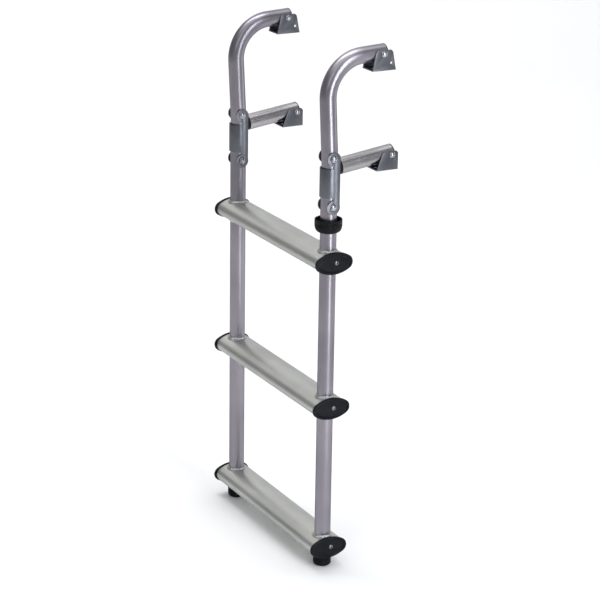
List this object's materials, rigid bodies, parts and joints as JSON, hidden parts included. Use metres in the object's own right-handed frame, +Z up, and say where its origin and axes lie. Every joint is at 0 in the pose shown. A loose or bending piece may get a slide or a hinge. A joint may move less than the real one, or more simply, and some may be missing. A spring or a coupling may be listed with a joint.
{
  "type": "folding boat boarding ladder",
  "caption": "Folding boat boarding ladder: hook rails with deck brackets and stand-off arms, a double-pivot channel hinge, oval steps with black end caps, rubber feet.",
  "frame": {"origin": "on the deck plane, at the centre of the four fixing holes of the two deck brackets", "axes": "+X right along the steps seen from the boat's water side, +Y towards the boat, +Z up"},
  "size_m": [0.3449, 0.1426, 0.8346],
  "materials": {
    "tube_aluminium": "bright satin anodised, fine lengthwise grain",
    "step_aluminium": "satin anodised extrusion",
    "bracket_steel": "brushed stainless sheet",
    "bolt_steel": "polished stainless",
    "black_plastic": "moulded black plastic, fine texture",
    "black_rubber": "moulded black rubber"
  },
  "bodies": {
    "upper_section": {"hook_rail_left": "tube_aluminium", "hook_rail_right": "tube_aluminium", "hook_end_plugs": "black_plastic", "rail_tail_plugs": "black_plastic", "standoff_arm_left": "tube_aluminium", "standoff_arm_right": "tube_aluminium", "arm_saddles": "black_plastic", "arm_tie_bolts": "bolt_steel", "arm_end_plugs": "black_plastic", "pivot_bolts": "bolt_steel", "pivot_nuts": "bolt_steel"},
    "hinge_links": {"hinge_channel_left": "bracket_steel", "hinge_channel_right": "bracket_steel", "hinge_bolts": "bolt_steel", "hinge_nuts": "bolt_steel"},
    "lower_section": {"side_rail_left": "tube_aluminium", "side_rail_right": "tube_aluminium", "rail_top_plugs": "black_plastic", "step_top": "step_aluminium", "step_middle": "step_aluminium", "step_bottom": "step_aluminium", "cap_top_left": "black_plastic", "cap_top_right": "black_plastic", "cap_middle_left": "black_plastic", "cap_middle_right": "black_plastic", "cap_bottom_left": "black_plastic", "cap_bottom_right": "black_plastic", "cap_screws": "bolt_steel", "foot_left": "black_rubber", "foot_right": "black_rubber"},
    "lock_collar": {"lock_collar": "black_rubber"},
    "deck_bracket_left": {"deck_bracket_left": "bracket_steel"},
    "deck_bracket_right": {"deck_bracket_right": "bracket_steel"},
    "hull_bracket_left": {"hull_bracket_left": "bracket_steel"},
    "hull_bracket_right": {"hull_bracket_right": "bracket_steel"}
  },
  "joints": [
    {"name": "upper_fold", "type": "hinge", "parent": "upper_section", "child": "hinge_links", "pos_m": [0, -0.08213, -0.12751], "axis": [-1, 0, 0], "range_deg": [-2.5, 90]},
    {"name": "lower_fold", "type": "hinge", "parent": "hinge_links", "child": "lower_section", "pos_m": [0, -0.08213, -0.20251], "axis": [-1, 0, 0], "range_deg": [0, 90]},
    {"name": "collar_slide", "type": "slide", "parent": "lower_section", "child": "lock_collar", "axis": [0, 0, -1], "range_m": [0, 0.025]},
    {"name": "deck_pivot_left", "type": "hinge", "parent": "upper_section", "child": "deck_bracket_left", "pos_m": [-0.15, 0, 0.025], "axis": [1, 0, 0], "range_deg": [-15, 90]},
    {"name": "deck_pivot_right", "type": "hinge", "parent": "upper_section", "child": "deck_bracket_right", "pos_m": [0.15, 0, 0.025], "axis": [1, 0, 0], "range_deg": [-15, 90]},
    {"name": "hull_pivot_left", "type": "hinge", "parent": "upper_section", "child": "hull_bracket_left", "pos_m": [-0.15, 0.0184, -0.13137], "axis": [1, 0, 0], "range_deg": [-5, 90]},
    {"name": "hull_pivot_right", "type": "hinge", "parent": "upper_section", "child": "hull_bracket_right", "pos_m": [0.15, 0.0184, -0.13137], "axis": [1, 0, 0], "range_deg": [-5, 90]}
  ]
}
